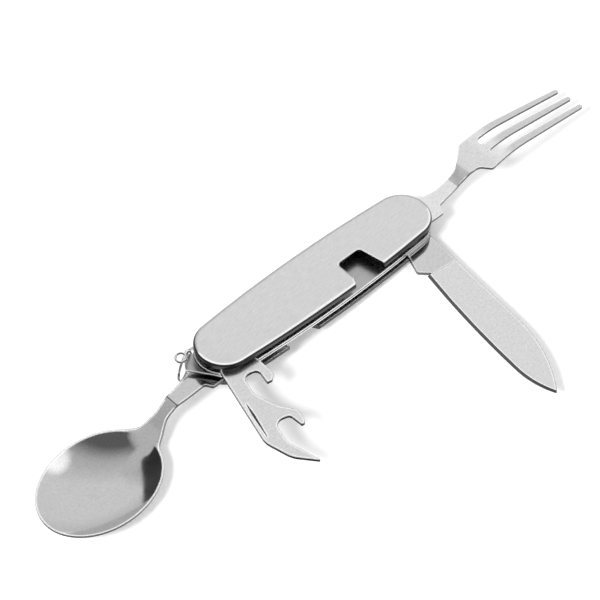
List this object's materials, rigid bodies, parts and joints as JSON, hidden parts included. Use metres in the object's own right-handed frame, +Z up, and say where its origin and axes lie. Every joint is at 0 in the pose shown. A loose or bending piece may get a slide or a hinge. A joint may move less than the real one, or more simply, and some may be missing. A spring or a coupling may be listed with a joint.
{
  "type": "folding camp cutlery",
  "caption": "Folding picnic cutlery: a slim stainless handle in two halves with a fork, spoon, knife and bottle opener that fold out, and a lanyard ring.",
  "frame": {"origin": "middle of the bottom cover's outer face", "axes": "+X along the handle towards the fork, +Y towards the closed spine side, +Z up from the bottom cover to the top cover"},
  "size_m": [0.2558, 0.098, 0.0256],
  "materials": {
    "brushed_cover": "brushed along the handle",
    "polished_sheet": "fine satin, brighter at the edges",
    "ground_blade": "ground across the blade",
    "spring_wire": "bright plated",
    "inner_steel": "plain rolled"
  },
  "bodies": {
    "lower_half": {"bottom_cover": "brushed_cover", "lower_liner": "inner_steel", "spoon_pin": "inner_steel", "spoon_outer_washer": "inner_steel", "spoon_inner_washer": "inner_steel", "knife_pin": "inner_steel", "knife_washer": "inner_steel"},
    "upper_half": {"top_cover": "brushed_cover", "upper_liner": "inner_steel", "fork_pin": "inner_steel", "fork_outer_washer": "inner_steel", "fork_inner_washer": "inner_steel", "opener_pin": "inner_steel", "opener_washer": "inner_steel", "front_stud": "inner_steel", "rear_stud": "inner_steel"},
    "fork": {"fork": "polished_sheet"},
    "spoon": {"spoon": "polished_sheet"},
    "knife": {"knife_blade": "ground_blade"},
    "opener": {"bottle_opener": "ground_blade"},
    "ring": {"lanyard_ring": "spring_wire"}
  },
  "joints": [
    {"name": "halves_slide", "type": "slide", "parent": "lower_half", "child": "upper_half", "axis": [1, 0, 0], "range_m": [0, 0.007]},
    {"name": "fork_fold", "type": "hinge", "parent": "upper_half", "child": "fork", "pos_m": [0.0422, -0.0035, 0.00815], "axis": [0, 0, 1], "range_deg": [-180, 0]},
    {"name": "opener_fold", "type": "hinge", "parent": "upper_half", "child": "opener", "pos_m": [-0.0422, -0.0035, 0.00697], "axis": [0, 0, 1], "range_deg": [-73.9, 106.1]},
    {"name": "spoon_fold", "type": "hinge", "parent": "lower_half", "child": "spoon", "pos_m": [-0.0422, -0.0035, 0.00263], "axis": [0, 0, 1], "range_deg": [0, 180]},
    {"name": "knife_fold", "type": "hinge", "parent": "lower_half", "child": "knife", "pos_m": [0.0422, -0.0035, 0.00381], "axis": [0, 0, 1], "range_deg": [-84.3, 95.7]},
    {"name": "ring_swing", "type": "hinge", "parent": "lower_half", "child": "ring", "pos_m": [-0.0502, 0.0078, 0.00479], "axis": [-0.4226, 0.9063, 0], "range_deg": [-20, 32]}
  ]
}
